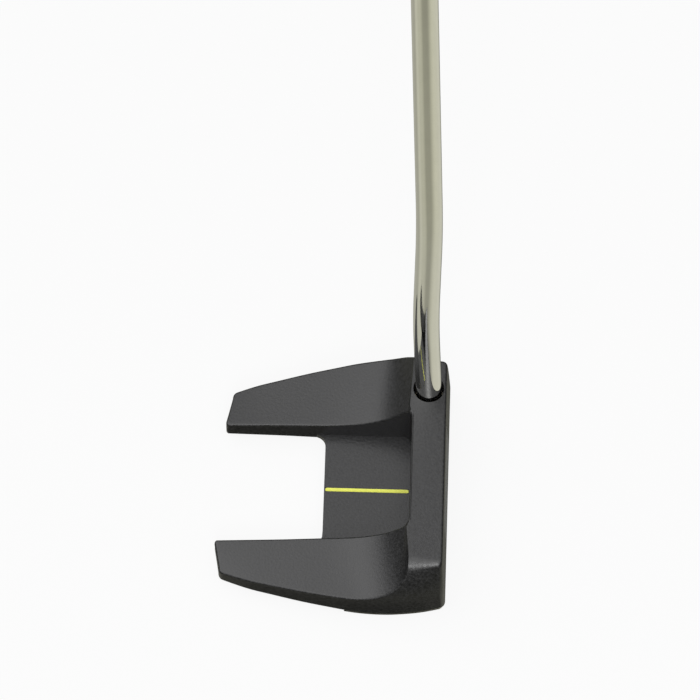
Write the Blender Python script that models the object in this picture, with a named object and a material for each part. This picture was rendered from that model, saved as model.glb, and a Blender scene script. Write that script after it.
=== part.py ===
"""Mallet putter, right-handed, 35 inches long.

Frame: metres, +Z up. The sole rests on z = 0, +X is the direction of the shot,
+Y is the heel side, where the golfer stands. Sizes below are in millimetres.
"""

import math

import bmesh
import bpy
from mathutils import Matrix, Vector

MM = 0.001

# Head block
BLOCK_FLOOR = 2.8
BAR_TOP = 25.5
BAR_REAR = 6.0
LEADING_EDGE = 19.95
LOFT = math.radians(3.5)
EDGE_ROUND = 0.8
FOOT_ROUND = 0.5
INNER_TIP_ROUND = 0.9
HEEL_DRAFT = (
    (2.8, 1.0),
    (8.0, 1.0),
    (13.0, 0.994),
    (17.0, 0.982),
    (20.5, 0.965),
    (23.5, 0.943),
    (26.5, 0.917),
)
TOE_DRAFT = (
    (2.8, 1.0),
    (8.0, 0.995),
    (12.5, 0.977),
    (15.0, 0.957),
    (17.0, 0.935),
    (20.5, 0.89),
    (22.4, 0.86),
    (26.5, 0.8),
)
DRAFT_SHARE = (
    (-70.0, 1.0),
    (8.0, 1.0),
    (20.0, 0.75),
)

# How much further out each side stands than the mean outline: x, distance
HEEL_EXTRA = (
    (-70.0, 0.0),
    (-46.0, 0.0),
    (-25.0, 0.4),
    (-14.0, 0.55),
    (-4.0, 0.55),
    (3.5, 0.3),
    (12.0, 0.3),
    (20.0, 0.9),
)
TOE_EXTRA = (
    (-70.0, 0.0),
    (-60.0, -0.2),
    (-46.0, -0.35),
    (-25.0, -0.5),
    (-14.0, -0.6),
    (3.5, -0.55),
    (11.0, -0.3),
    (20.0, 0.0),
)

# Radius of the outer top edge along the head: x, radius
HEEL_EDGE = (
    (-70.0, 0.8),
    (20.0, 0.8),
)
TOE_EDGE = (
    (-70.0, 0.8),
    (4.4, 0.8),
    (6.3, 3.1),
    (20.0, 1.8),
)
OUTER_SIDE = (
    (-63.0, 35.5),
    (-57.4, 37.7),
    (-50.3, 40.1),
    (-43.0, 41.9),
    (-32.5, 44.4),
    (-21.4, 46.6),
    (-14.1, 47.9),
    (-7.0, 48.5),
    (0.0, 48.5),
    (6.0, 47.9),
    (12.4, 46.7),
    (19.9, 44.6),
)
HEEL_TIP = ((-61.4, 23.0), (-59.4, 37.0))
TOE_TIP = ((-63.7, 23.0), (-62.0, 36.4))
TIP_ROUND = 1.5
FRONT_ROUND = 1.7

# Upper surface from the fang tips to the top of the bar: x, inner z, outer z at heel and toe
RAMP_CREST = 6.3
RAMP = (
    (-68.0, 8.6, 7.2, 7.2),
    (-56.0, 9.5, 8.35, 8.5),
    (-48.0, 10.1, 9.2, 9.2),
    (-40.0, 10.7, 10.0, 9.75),
    (-32.0, 11.3, 10.7, 10.3),
    (-24.0, 11.95, 11.45, 10.75),
    (-18.0, 12.6, 12.15, 11.15),
    (-13.0, 13.45, 12.9, 11.55),
    (-9.0, 14.6, 13.8, 12.1),
    (-5.5, 16.05, 14.95, 13.0),
    (-2.5, 17.8, 16.4, 14.2),
    (0.0, 19.75, 18.2, 15.6),
    (2.2, 21.8, 20.5, 17.2),
    (4.0, 23.6, 22.7, 19.2),
    (5.2, 24.7, 24.2, 21.5),
    (6.3, 25.5, 25.5, 25.5),
)

# Ball-wide opening between the fangs and the panel in front of it
PANEL_TOP = 5.5
PANEL_REAR = -25.1
POCKET_HALF = ((-70.0, 23.0), (-40.0, 22.6), (-25.0, 22.2), (6.0, 22.0))
POCKET_DRAFT = 0.06
POCKET_CORNER = 3.0
GAP_CORNER = 4.2

# Alignment line
LINE_WIDTH = 1.35
LINE_DEPTH = 0.6
LINE_CLEARANCE = 0.05

# Face insert and the adhesive sheet behind it
INSERT_HALF = 20.5
INSERT_LOW = 4.8
INSERT_HIGH = 21.4
INSERT_THICK = 2.8
INSERT_CORNER = 3.0
TAPE_THICK = 0.2
INSERT_CLEARANCE = 0.1

# Sole plate, its screws and the screw-in weights
PLATE_THICK = 2.5
PLATE_REAR = -16.5
PLATE_INSET = 0.8
SCREW_X = 11.0
SCREW_Y = (-40.0, -14.0, 14.0, 40.0)
SCREW_HEAD_R = 2.8
SCREW_SHANK_R = 1.45
SCREW_LENGTH = 8.0
WEIGHT_X = -5.0
WEIGHT_Y = 33.0
WEIGHT_FLANGE_R = 8.0
WEIGHT_SHANK_R = 5.5
WEIGHT_BASE = 0.4
WEIGHT_SHOULDER = 3.6
WEIGHT_TOP = 10.6
WEIGHT_SEAT = 5.0
WEIGHT_BORE_TOP = 11.4
RING_R = 7.0
RING_SECTION = 0.45

# Shaft centre line: end in the bore, the two bends, the butt
SHAFT_MOUTH = Vector((11.85, 31.9, 25.5))
SHAFT_BEND_LOW = Vector((10.19, 38.48, 64.9))
SHAFT_BEND_HIGH = Vector((10.79, 49.63, 111.39))
SHAFT_BUTT = Vector((-16.56, 309.33, 824.19))
BEND_REACH = 13.0
SHAFT_WALL = 0.9
SHAFT_FOOT_DEPTH = 14.0
BORE_DEPTH = 15.2
BORE_R = 5.15
MOUTH_R = 5.6
SHAFT_STEPS = (
    (0.0, 4.7),
    (290.0, 4.7),
    (292.0, 4.95),
    (345.0, 4.95),
    (347.0, 5.35),
    (400.0, 5.35),
    (402.0, 5.8),
    (455.0, 5.8),
    (457.0, 6.3),
    (510.0, 6.3),
    (512.0, 6.85),
    (565.0, 6.85),
    (567.0, 7.35),
)

# Grip
GRIP_LENGTH = 266.0
TAPE_R = (7.45, 7.65)
GRIP_BORE_R = 7.75
CAP_THICK = 4.0
CAP_GAP = 0.3
VENT_R = 1.3
GRIP_SECTIONS = (
    (0.0, 12.6, 11.4, 13.4),
    (10.0, 13.2, 11.8, 14.6),
    (30.0, 13.6, 12.0, 15.6),
    (60.0, 13.6, 12.0, 15.4),
    (95.0, 13.3, 11.8, 14.0),
    (130.0, 12.8, 11.4, 12.7),
    (175.0, 12.2, 10.9, 11.8),
    (225.0, 11.4, 10.3, 10.9),
    (258.0, 10.6, 9.8, 10.2),
    (266.0, 9.6, 9.1, 9.3),
)


def material(name, colour, metallic, roughness):
    """Principled material with one colour."""
    mat = bpy.data.materials.new(name)
    mat.use_nodes = True
    shader = mat.node_tree.nodes["Principled BSDF"]
    shader.inputs["Base Color"].default_value = (*colour, 1.0)
    shader.inputs["Metallic"].default_value = metallic
    shader.inputs["Roughness"].default_value = roughness
    return mat


def make_object(name, points, faces, mat=None, origin=(0.0, 0.0, 0.0), smooth=False):
    """Mesh object from millimetre points, origin given in millimetres."""
    base = Vector(origin)
    mesh = bpy.data.meshes.new(name)
    mesh.from_pydata([(Vector(p) - base) * MM for p in points], [], faces)
    bm = bmesh.new()
    bm.from_mesh(mesh)
    bmesh.ops.recalc_face_normals(bm, faces=bm.faces)
    bm.to_mesh(mesh)
    bm.free()
    obj = bpy.data.objects.new(name, mesh)
    obj.location = base * MM
    bpy.context.scene.collection.objects.link(obj)
    if mat:
        mesh.materials.append(mat)
    else:
        obj.hide_render = True
        obj.display_type = "WIRE"
    for face in mesh.polygons:
        face.use_smooth = smooth
    return obj


def loft(name, rings, mat=None, **options):
    """Closed solid through rings of equal length, capped at both ends."""
    count = len(rings[0])
    points = [p for ring in rings for p in ring]
    faces = [tuple(range(count))]
    last = (len(rings) - 1) * count
    faces.append(tuple(range(last, last + count)))
    for level in range(len(rings) - 1):
        low = level * count
        for i in range(count):
            j = (i + 1) % count
            faces.append((low + i, low + j, low + count + j, low + count + i))
    return make_object(name, points, faces, mat, **options)


def ring_solid(name, rings, mat=None, **options):
    """Closed solid whose last ring joins its first, as a tube wall does."""
    count = len(rings[0])
    points = [p for ring in rings for p in ring]
    faces = []
    for level in range(len(rings)):
        low = level * count
        high = ((level + 1) % len(rings)) * count
        for i in range(count):
            j = (i + 1) % count
            faces.append((low + i, low + j, high + j, high + i))
    return make_object(name, points, faces, mat, smooth=True, **options)


def round_corner(before, corner, after, radius, steps=5):
    """Points of an arc that rounds one corner of a plan outline."""
    a = (Vector(before) - Vector(corner)).normalized()
    b = (Vector(after) - Vector(corner)).normalized()
    half = a.angle(b) / 2
    reach = radius / math.tan(half)
    centre = Vector(corner) + (a + b).normalized() * radius / math.sin(half)
    start = Vector(corner) + a * reach - centre
    stop = Vector(corner) + b * reach - centre
    turn = start.angle_signed(stop)
    points = []
    for i in range(steps + 1):
        points.append(centre + Matrix.Rotation(-turn * i / steps, 2) @ start)
    return points


def smooth_curve(points, steps=3):
    """Catmull-Rom curve through points of any dimension."""
    pts = [Vector(p) for p in points]
    ends = [pts[0] * 2 - pts[1]] + pts + [pts[-1] * 2 - pts[-2]]
    curve = []
    for i in range(1, len(ends) - 2):
        p0, p1, p2, p3 = ends[i - 1:i + 3]
        for k in range(steps):
            t = k / steps
            curve.append(
                (p1 * 2 + (p2 - p0) * t + (p0 * 2 - p1 * 5 + p2 * 4 - p3) * t**2
                 + (p1 * 3 - p0 - p2 * 3 + p3) * t**3) / 2
            )
    curve.append(pts[-1])
    return curve


def at(table, x):
    """Linear value from a table of pairs."""
    for (x0, v0), (x1, v1) in zip(table, table[1:]):
        if x <= x1:
            break
    return v0 + (v1 - v0) * (x - x0) / (x1 - x0)


def boolean(obj, cutter, operation="DIFFERENCE"):
    """Exact Boolean of obj with a hidden cutter."""
    mod = obj.modifiers.new(cutter.name, "BOOLEAN")
    mod.operation = operation
    mod.solver = "EXACT"
    mod.object = cutter


def bevel(obj, width, segments, angle):
    """Rounded edges on obj."""
    mod = obj.modifiers.new("edge_round", "BEVEL")
    mod.width = width * MM
    mod.segments = segments
    mod.limit_method = "ANGLE"
    mod.angle_limit = math.radians(angle)


def circle(centre, normal, radius, count=32, side=Vector((1.0, 0.0, 0.0))):
    """Points of a circle around a normal."""
    n = Vector(normal).normalized()
    u = (side - n * side.dot(n)).normalized()
    v = n.cross(u)
    ring = []
    for i in range(count):
        turn = math.tau * i / count
        ring.append(Vector(centre) + (u * math.cos(turn) + v * math.sin(turn)) * radius)
    return ring


def turned(name, centre, axis, profile, mat=None, count=32, **options):
    """Solid of revolution from (distance along axis, radius) pairs."""
    n = Vector(axis).normalized()
    rings = [circle(Vector(centre) + n * d, n, r, count) for d, r in profile]
    return loft(name, rings, mat, **options)


def smooth_by_angle(obj, degrees=35.0):
    """Smooth shading with the hard edges kept."""
    mesh = obj.data
    bm = bmesh.new()
    bm.from_mesh(mesh)
    for face in bm.faces:
        face.smooth = True
    for edge in bm.edges:
        if len(edge.link_faces) == 2:
            edge.smooth = edge.calc_face_angle() < math.radians(degrees)
    bm.to_mesh(mesh)
    bm.free()


for existing in list(bpy.data.objects):
    bpy.data.objects.remove(existing)

BLACK = material("black_anodised_aluminium", (0.045, 0.045, 0.047), 0.6, 0.45)
INSERT = material("grey_urethane_insert", (0.12, 0.12, 0.125), 0.0, 0.5)
ADHESIVE = material("clear_adhesive", (0.6, 0.55, 0.42), 0.0, 0.4)
YELLOW = material("yellow_paint", (0.78, 0.80, 0.08), 0.0, 0.45)
STEEL = material("brushed_stainless_steel", (0.55, 0.55, 0.53), 1.0, 0.35)
CHROME = material("chrome_plated_steel", (0.62, 0.62, 0.6), 1.0, 0.08)
RUBBER = material("black_rubber", (0.02, 0.02, 0.02), 0.0, 0.8)
EPOXY = material("epoxy", (0.35, 0.33, 0.28), 0.0, 0.4)
CORK = material("cork_plug", (0.45, 0.32, 0.2), 0.0, 0.8)
TAPE = material("grip_tape_paper", (0.75, 0.72, 0.62), 0.0, 0.7)


# Head block: bar, fangs and panel milled from one billet, built as rows of sections
outer_curve = smooth_curve(OUTER_SIDE, 4)
inner_ramp = smooth_curve([(row[0], row[1]) for row in RAMP], 4)
heel_shape = (
    smooth_curve([(row[0], row[2]) for row in RAMP], 4),
    smooth_curve(HEEL_DRAFT),
    HEEL_EDGE,
    HEEL_EXTRA,
)
toe_shape = (
    smooth_curve([(row[0], row[3]) for row in RAMP], 4),
    smooth_curve(TOE_DRAFT),
    TOE_EDGE,
    TOE_EXTRA,
)


def inset(radius, distance):
    """How far an edge of that radius has drawn in, at a distance from the end face."""
    if distance >= radius:
        return 0.0
    return radius - math.sqrt(radius**2 - (radius - distance) ** 2)


def arc(radius, *degrees):
    """Sine and one-minus-cosine steps along a rounded edge."""
    return [(radius * math.sin(math.radians(d)), radius * (1 - math.cos(math.radians(d)))) for d in degrees]


def section(shape, x_in, x_out, pull_in=0.0, pull_out=0.0, pull_z=0.0, corner=False):
    """Points from the foot of the pocket wall, over the top, down the side and back below."""
    outer_ramp, draft_curve, edge_radii, extra = shape
    wall = at(POCKET_HALF, min(x_in, BAR_REAR)) + pull_in
    edge = at(edge_radii, x_out)
    top_in = min(at(inner_ramp, min(x_in, RAMP_CREST)), BAR_TOP)
    top_out = min(at(outer_ramp, min(x_out, RAMP_CREST)), BAR_TOP)
    if corner:
        top_in = top_out = BAR_TOP
    top_in -= pull_z
    top_out -= pull_z
    low = BLOCK_FLOOR + pull_z
    reach = at(outer_curve, x_out) + at(extra, x_out)

    def pocket_y(z):
        return wall + (z - PANEL_TOP) * POCKET_DRAFT

    def side_y(z):
        return reach * (1.0 - (1.0 - at(draft_curve, z)) * at(DRAFT_SHARE, x_out)) - pull_out

    ring = []
    shoulder = top_in - EDGE_ROUND
    for share in (0.0, 0.5, 1.0):
        z = PANEL_TOP + (shoulder - PANEL_TOP) * share
        ring.append((x_in, pocket_y(z), z))
    for rise, back in arc(EDGE_ROUND, 30, 60, 90):
        diagonal = math.sqrt(0.5) if corner else 1.0
        step = back * diagonal if corner else 0.0
        ring.append((x_in + step, pocket_y(top_in) + back * diagonal, shoulder + rise))
    start = pocket_y(top_in) + EDGE_ROUND
    stop = side_y(top_out) - edge
    for i in range(1, 6):
        share = i / 6
        x = x_in + (x_out - x_in) * share
        ring.append((x, start + (stop - start) * share, top_in + (top_out - top_in) * share))
    for rise, back in arc(edge, 90, 60, 30, 0):
        z = top_out - edge + rise
        ring.append((x_out, side_y(z) - back, z))
    for share in (0.25, 0.5, 0.75, 1.0):
        z = top_out - edge + (low + FOOT_ROUND - top_out + edge) * share
        ring.append((x_out, side_y(z), z))
    for rise, back in arc(FOOT_ROUND, 30, 60, 90):
        ring.append((x_out, side_y(low) - back, low + FOOT_ROUND - rise))
    for rise, back in arc(FOOT_ROUND, 90, 60, 30, 0):
        ring.append((x_in, wall + back, low + FOOT_ROUND - rise))
    return ring


TOP_START = 5
FLAT_END = 22
RING = 26
ACROSS_STEPS = (0.0, 0.35, 0.7, 0.856, 0.9, 0.94, 0.975, 0.99, 1.0)
TIP_STEPS = (0.0, 0.06, 0.22, 0.5, 0.9, 1.5, 2.2)
FANG_ROWS = ((-56.0, 0.6), (-52.0, 0.25), (-48.0, 0.0), (-42.0, 0.0), (-35.0, 0.0), (-28.3, 0.0))
PANEL_ROWS = (-24.0, -20.0, -16.5, -13.5, -11.0, -9.0, -7.0, -5.0, -3.2, -1.5, 0.0, 1.5, 3.05)
BAR_ROWS = (8.0, 11.0, 14.0, 16.5)


def side_rows(shape, tip):
    """Sections of one side, fang tip to face."""
    (tip_in, _), (tip_out, _) = tip
    slant = tip_out - tip_in
    rows = []
    for d in TIP_STEPS:
        pulls = (inset(INNER_TIP_ROUND, d), inset(TIP_ROUND, d), inset(EDGE_ROUND, d))
        rows.append(section(shape, tip_in + d, tip_out + d, *pulls))
    for x, share in FANG_ROWS:
        rows.append(section(shape, x, x + slant * share))
    for x in PANEL_ROWS:
        rows.append(section(shape, x, x))
    for degrees in (22.5, 45.0):
        turn = math.radians(degrees)
        narrow = POCKET_CORNER * (1 - math.cos(turn))
        x = BAR_REAR - POCKET_CORNER + POCKET_CORNER * math.sin(turn)
        x_out = 3.05 + (RAMP_CREST - 3.05) * degrees / 45.0
        rows.append(section(shape, x, x_out, -narrow, corner=degrees == 45.0))
    for x in BAR_ROWS:
        rows.append(section(shape, x, x))
    for degrees in (0, 20, 40, 60, 75, 90):
        turn = math.radians(degrees)
        x = LEADING_EDGE - FRONT_ROUND * (1 - math.sin(turn))
        pulls = (FRONT_ROUND * (1 - math.cos(turn)), inset(EDGE_ROUND, LEADING_EDGE - x))
        rows.append(section(shape, x, x, 0.0, *pulls))
    return rows


def head_points_and_faces():
    """One closed mesh from the two sides and the panel and bar between them."""
    points = []
    faces = []
    known = {}
    sides = {1: side_rows(heel_shape, HEEL_TIP), -1: side_rows(toe_shape, TOE_TIP)}
    rear = len(TIP_STEPS) + len(FANG_ROWS) - 1
    wall = rear + len(PANEL_ROWS) + 2
    last = len(sides[1]) - 1

    def put(key, point):
        if key not in known:
            known[key] = len(points)
            x, y, z = point
            share = min(max((x - BAR_REAR) / 10.0, 0.0), 1.0)
            points.append((x - z * math.tan(LOFT) * share, y, z))
        return known[key]

    def ring_vertex(side, row, column):
        x, y, z = sides[side][row][column % RING]
        return put((side, row, column % RING), (x, y * side, z))

    def fillet(y, edge, radius):
        beyond = min(max(y - (edge - radius), 0.0), radius)
        return radius - math.sqrt(radius**2 - beyond**2)

    def middle(side, row, column, step):
        """Vertex between the centre line and a section point, in step with the row."""
        share = ACROSS_STEPS[step]
        if share == 1.0:
            return ring_vertex(side, row, column)
        x, y, z = sides[side][row][column % RING]
        y = y * share
        if row <= wall:
            foot = sides[side]
            y_rear = foot[rear][0][1]
            y_wall = foot[wall][0][1]
            x_rear = PANEL_REAR - fillet(y_rear * share, y_rear, GAP_CORNER)
            x_wall = BAR_REAR - fillet(y_wall * share, y_wall + 0.88, POCKET_CORNER)
            travel = (foot[row][0][0] - foot[rear][0][0]) / (foot[wall][0][0] - foot[rear][0][0])
            x = x_rear + (x_wall - x_rear) * travel
            if row == wall and column in (3, 4, 5):
                x += arc(EDGE_ROUND, 30 * (column - 2))[0][1]
            if row == rear and column in (22, 23, 24):
                x += arc(FOOT_ROUND, 30 * (25 - column))[0][1]
        key = ("middle", side if share else 0, row, column, step)
        return put(key, (x, y * side, z))

    def quad(*corners):
        faces.append(corners)

    for side in (1, -1):
        faces.append(tuple(ring_vertex(side, 0, c) for c in range(RING)))
        for row in range(rear):
            for c in range(RING):
                quad(
                    ring_vertex(side, row, c),
                    ring_vertex(side, row, c + 1),
                    ring_vertex(side, row + 1, c + 1),
                    ring_vertex(side, row + 1, c),
                )
        for row in range(rear, last):
            first = 0 if row < wall else TOP_START
            for c in range(first, FLAT_END):
                quad(
                    ring_vertex(side, row, c),
                    ring_vertex(side, row, c + 1),
                    ring_vertex(side, row + 1, c + 1),
                    ring_vertex(side, row + 1, c),
                )
        for step in range(len(ACROSS_STEPS) - 1):
            for row in range(rear, last):
                upper = 0 if row < wall else TOP_START
                for column in (upper, FLAT_END):
                    quad(
                        middle(side, row, column, step),
                        middle(side, row, column, step + 1),
                        middle(side, row + 1, column, step + 1),
                        middle(side, row + 1, column, step),
                    )
            for c in range(TOP_START):
                quad(
                    middle(side, wall, c, step),
                    middle(side, wall, c, step + 1),
                    middle(side, wall, c + 1, step + 1),
                    middle(side, wall, c + 1, step),
                )
            for c in range(FLAT_END, RING):
                quad(
                    middle(side, rear, c, step),
                    middle(side, rear, c, step + 1),
                    middle(side, rear, c + 1, step + 1),
                    middle(side, rear, c + 1, step),
                )
    face = [ring_vertex(1, last, c) for c in range(TOP_START, FLAT_END + 1)]
    face += [middle(1, last, FLAT_END, i) for i in range(len(ACROSS_STEPS) - 2, -1, -1)]
    face += [middle(-1, last, FLAT_END, i) for i in range(1, len(ACROSS_STEPS) - 1)]
    face += [ring_vertex(-1, last, c) for c in range(FLAT_END, TOP_START - 1, -1)]
    face += [middle(-1, last, TOP_START, i) for i in range(len(ACROSS_STEPS) - 2, -1, -1)]
    face += [middle(1, last, TOP_START, i) for i in range(1, len(ACROSS_STEPS) - 1)]
    faces.append(tuple(face))
    return points, faces


head = make_object("head_body", *head_points_and_faces(), BLACK)
smooth_by_angle(head)


def box(name, low, high, mat=None, **options):
    rings = []
    for z in (low[2], high[2]):
        rings.append([(low[0], low[1], z), (high[0], low[1], z), (high[0], high[1], z), (low[0], high[1], z)])
    return loft(name, rings, mat, **options)


# Alignment line: groove along the panel and its paint fill
groove_half = LINE_WIDTH / 2 + LINE_CLEARANCE
groove = box(
    "sight_line_cutter",
    (PANEL_REAR - 4.0, -groove_half, PANEL_TOP - LINE_DEPTH),
    (BAR_REAR - 0.4, groove_half, PANEL_TOP + 1.0),
)
boolean(head, groove)
box(
    "sight_line_fill",
    (PANEL_REAR + 0.5, -LINE_WIDTH / 2, PANEL_TOP - LINE_DEPTH + LINE_CLEARANCE),
    (BAR_REAR - 0.5, LINE_WIDTH / 2, PANEL_TOP),
    YELLOW,
)

# Face insert in its pocket, with the adhesive sheet behind it
FACE_NORMAL = Vector((math.cos(LOFT), 0.0, math.sin(LOFT)))
FACE_UP = Vector((-math.sin(LOFT), 0.0, math.cos(LOFT)))


def face_ring(depth, grow):
    low = INSERT_LOW - grow
    high = INSERT_HIGH + grow
    half = INSERT_HALF + grow
    corners = [(-half, low), (half, low), (half, high), (-half, high)]
    ring = []
    for i in range(4):
        rounded = round_corner(corners[i - 1], corners[i], corners[(i + 1) % 4], INSERT_CORNER + grow)
        for p in rounded:
            base = Vector((LEADING_EDGE, p.x, 0.0)) + FACE_UP * p.y
            ring.append(base - FACE_NORMAL * depth)
    return ring


tape_back = INSERT_THICK + INSERT_CLEARANCE + TAPE_THICK
pocket_ends = (-3.0, tape_back + INSERT_CLEARANCE)
insert_cutter = loft("insert_cutter", [face_ring(d, INSERT_CLEARANCE) for d in pocket_ends])
boolean(head, insert_cutter)
insert = loft("face_insert", [face_ring(d, 0.0) for d in (0.05, INSERT_THICK)], INSERT)
bevel(insert, 0.25, 2, 60.0)
loft("insert_adhesive", [face_ring(d, -0.2) for d in (tape_back - TAPE_THICK, tape_back)], ADHESIVE)

# Sole plate under the front of the head
def plate_side(extra):
    """Outline of one side of the plate, rear to front."""
    front = LEADING_EDGE - PLATE_INSET
    edge = [(PLATE_REAR, at(outer_curve, PLATE_REAR))]
    edge += [(p.x, p.y) for p in outer_curve if PLATE_REAR + 0.5 < p.x < front - FRONT_ROUND - 0.5]
    corner = (front, at(outer_curve, front))
    edge += [(p.x, p.y) for p in round_corner(edge[-1], corner, (front, 0.0), FRONT_ROUND)]
    return [(x, y + at(extra, x) - PLATE_INSET) for x, y in edge]


def plate_ring(z):
    ring = [(x, y, z) for x, y in plate_side(HEEL_EXTRA)]
    return ring + [(x, -y, z) for x, y in reversed(plate_side(TOE_EXTRA))]


plate = loft("sole_plate", [plate_ring(z) for z in (0.0, PLATE_THICK)], STEEL)
bevel(plate, 0.6, 2, 50.0)

# Screws that hold the sole plate
for number, y in enumerate(SCREW_Y, 1):
    head_top = 0.35 + (SCREW_HEAD_R - SCREW_SHANK_R)
    cone = ((0.35, SCREW_HEAD_R), (head_top, SCREW_SHANK_R), (0.35 + SCREW_LENGTH, SCREW_SHANK_R))
    screw = turned(f"plate_screw_{number}", (SCREW_X, y, 0.0), (0, 0, 1), cone, STEEL, 24)
    smooth_by_angle(screw)
    socket = turned(
        f"plate_screw_socket_{number}", (SCREW_X, y, 0.0), (0, 0, 1), ((-1.0, 1.15), (1.5, 1.15)), count=6
    )
    boolean(screw, socket)
    room = (
        (-1.0, SCREW_HEAD_R + 1.1),
        (0.1, SCREW_HEAD_R + 0.25),
        (head_top + 0.2, SCREW_SHANK_R + 0.2),
        (SCREW_LENGTH + 1.0, SCREW_SHANK_R + 0.2),
    )
    hole = turned(f"plate_screw_hole_{number}", (SCREW_X, y, 0.0), (0, 0, 1), room, count=24)
    boolean(plate, hole)
    boolean(head, hole)

# Screw-in weights at heel and toe, each with its sealing ring
for side, sign in (("heel", 1.0), ("toe", -1.0)):
    seat = (WEIGHT_X, WEIGHT_Y * sign, 0.0)
    room = turned(
        f"{side}_weight_bore",
        seat,
        (0, 0, 1),
        (
            (-2.0, WEIGHT_FLANGE_R + 0.3),
            (WEIGHT_SEAT, WEIGHT_FLANGE_R + 0.3),
            (WEIGHT_SEAT, WEIGHT_SHANK_R + 0.3),
            (WEIGHT_BORE_TOP, WEIGHT_SHANK_R + 0.3),
        ),
        count=40,
    )
    boolean(head, room)
    boolean(plate, room)
    weight = turned(
        f"{side}_weight",
        seat,
        (0, 0, 1),
        (
            (WEIGHT_BASE, WEIGHT_FLANGE_R - 0.6),
            (WEIGHT_BASE + 0.5, WEIGHT_FLANGE_R),
            (WEIGHT_SHOULDER, WEIGHT_FLANGE_R),
            (WEIGHT_SHOULDER, WEIGHT_SHANK_R),
            (WEIGHT_TOP - 0.6, WEIGHT_SHANK_R),
            (WEIGHT_TOP, WEIGHT_SHANK_R - 0.6),
        ),
        STEEL,
        40,
        origin=seat,
    )
    smooth_by_angle(weight)
    key = turned(f"{side}_weight_socket", seat, (0, 0, 1), ((-1.0, 3.1), (3.4, 3.1)), count=6)
    boolean(weight, key)
    ring_centre = Vector(seat) + Vector((0.0, 0.0, WEIGHT_SHOULDER + 0.15 + RING_SECTION))
    rings = []
    for i in range(10):
        turn = math.tau * i / 10
        height = Vector((0.0, 0.0, RING_SECTION * math.sin(turn)))
        rings.append(circle(ring_centre + height, (0, 0, 1), RING_R + RING_SECTION * math.cos(turn), 40))
    ring_solid(f"{side}_weight_ring", rings, RUBBER, origin=seat)

# Shaft centre line with its two bends
LOWER = (SHAFT_BEND_LOW - SHAFT_MOUTH).normalized()
FOOT = SHAFT_MOUTH - LOWER * SHAFT_FOOT_DEPTH


def shaft_line():
    corners = [FOOT, SHAFT_BEND_LOW, SHAFT_BEND_HIGH, SHAFT_BUTT]
    line = [FOOT]
    for before, corner, after in zip(corners, corners[1:], corners[2:]):
        start = corner + (before - corner).normalized() * BEND_REACH
        stop = corner + (after - corner).normalized() * BEND_REACH
        for i in range(9):
            t = i / 8
            line.append(start.lerp(corner, t).lerp(corner.lerp(stop, t), t))
    upper = (SHAFT_BUTT - SHAFT_BEND_HIGH).normalized()
    travelled = 0.0
    for a, b in zip(line, line[1:]):
        travelled += (b - a).length
    last = line[-1]
    for distance, _ in SHAFT_STEPS[1:]:
        if distance > travelled:
            line.append(last + upper * (distance - travelled))
    line.append(SHAFT_BUTT.copy())
    return line


line = shaft_line()
lengths = [0.0]
for a, b in zip(line, line[1:]):
    lengths.append(lengths[-1] + (b - a).length)


def tangent(i):
    a = line[max(i - 1, 0)]
    b = line[min(i + 1, len(line) - 1)]
    return (b - a).normalized()


def shaft_radius(distance):
    if distance >= SHAFT_STEPS[-1][0]:
        return SHAFT_STEPS[-1][1]
    return at(SHAFT_STEPS, distance)


outside = []
inside = []
for i, point in enumerate(line):
    radius = shaft_radius(lengths[i])
    outside.append(circle(point, tangent(i), radius, 28))
    inside.append(circle(point, tangent(i), radius - SHAFT_WALL, 28))
shaft = ring_solid("shaft", outside + inside[::-1], CHROME)
smooth_by_angle(shaft)

# Bore for the shaft, with a small chamfer at its mouth
bore = turned(
    "shaft_bore",
    SHAFT_MOUTH,
    LOWER,
    ((-BORE_DEPTH, BORE_R), (-4.3, BORE_R), (-3.9, MOUTH_R), (6.0, MOUTH_R)),
    count=40,
)
boolean(head, bore)

# Epoxy between shaft and bore, and the plug that closes the shaft's foot
epoxy_ends = (-SHAFT_FOOT_DEPTH, -4.6)
epoxy_rings = [circle(SHAFT_MOUTH + LOWER * d, LOWER, BORE_R - 0.06, 40) for d in epoxy_ends]
epoxy_rings += [circle(SHAFT_MOUTH + LOWER * d, LOWER, 4.76, 40) for d in reversed(epoxy_ends)]
epoxy = ring_solid("shaft_epoxy", epoxy_rings, EPOXY)
smooth_by_angle(epoxy)
plug = turned("shaft_tip_plug", FOOT, LOWER, ((0.4, 3.5), (0.9, 3.7), (9.0, 3.7), (9.5, 3.4)), CORK, 24)
smooth_by_angle(plug)

# Grip: flat front, fuller back towards the butt
UP = (SHAFT_BUTT - SHAFT_BEND_HIGH).normalized()
ACROSS = (Vector((1.0, 0.0, 0.0)) - UP * UP.x).normalized()
FRONT = ACROSS.cross(UP).normalized()
FRONT = FRONT if FRONT.y < 0 else -FRONT


def grip_ring(distance, width, front, back, count=36):
    """Section of the grip at a distance below the butt."""
    centre = SHAFT_BUTT - UP * distance
    ring = []
    for i in range(count):
        turn = math.tau * i / count
        c, s = math.cos(turn), math.sin(turn)
        a = width * math.copysign(abs(c) ** 0.9, c)
        b = (front if s > 0 else back) * math.copysign(abs(s) ** (0.55 if s > 0 else 0.95), s)
        b = min(b, front * 0.93)
        ring.append(centre + ACROSS * a + FRONT * b)
    return ring


def bore_ring(distance, radius, count=36):
    """Round section of the grip bore, in step with grip_ring."""
    centre = SHAFT_BUTT - UP * distance
    ring = []
    for i in range(count):
        turn = math.tau * i / count
        ring.append(centre + (ACROSS * math.cos(turn) + FRONT * math.sin(turn)) * radius)
    return ring


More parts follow.
